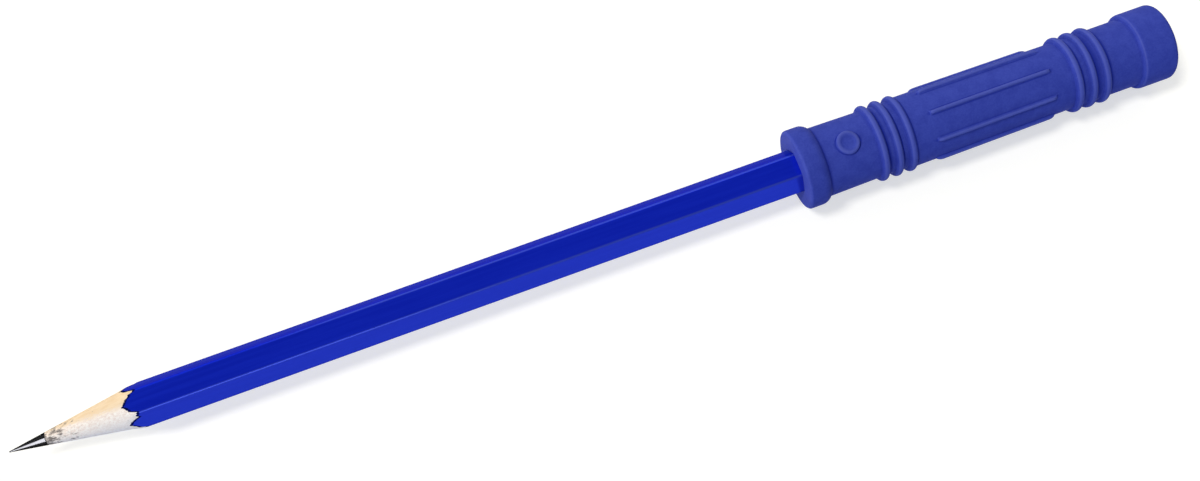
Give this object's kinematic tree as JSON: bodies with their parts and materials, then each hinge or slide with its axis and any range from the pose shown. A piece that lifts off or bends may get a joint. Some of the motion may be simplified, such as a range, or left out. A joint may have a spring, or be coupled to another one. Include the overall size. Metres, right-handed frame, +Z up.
{
  "type": "chewable pencil topper",
  "caption": "Soft ribbed and ridged chewable topper with a blind bore, pushed over the flat end of a sharpened, lacquered hexagonal pencil.",
  "frame": {"origin": "on the surface that the object lies on, under the middle of its whole length", "axes": "+X along the pencil from the writing tip to the topper's end, +Z up, out of the pencil's top flat and the topper's round pad"},
  "size_m": [0.2184, 0.0148, 0.0149],
  "materials": {
    "wood": "bare, knife-cut by a sharpener",
    "graphite": "fired graphite and clay, burnished",
    "lacquer": "glossy blue lacquer",
    "topper": "matte blue elastomer"
  },
  "bodies": {
    "pencil": {"upper_slat": "wood", "lower_slat": "wood", "lead": "graphite", "lacquer": "lacquer"},
    "topper": {"topper": "topper"}
  },
  "joints": [
    {"name": "topper_slide", "type": "slide", "parent": "pencil", "child": "topper", "axis": [1, 0, 0], "range_m": [0, 0.04]}
  ]
}
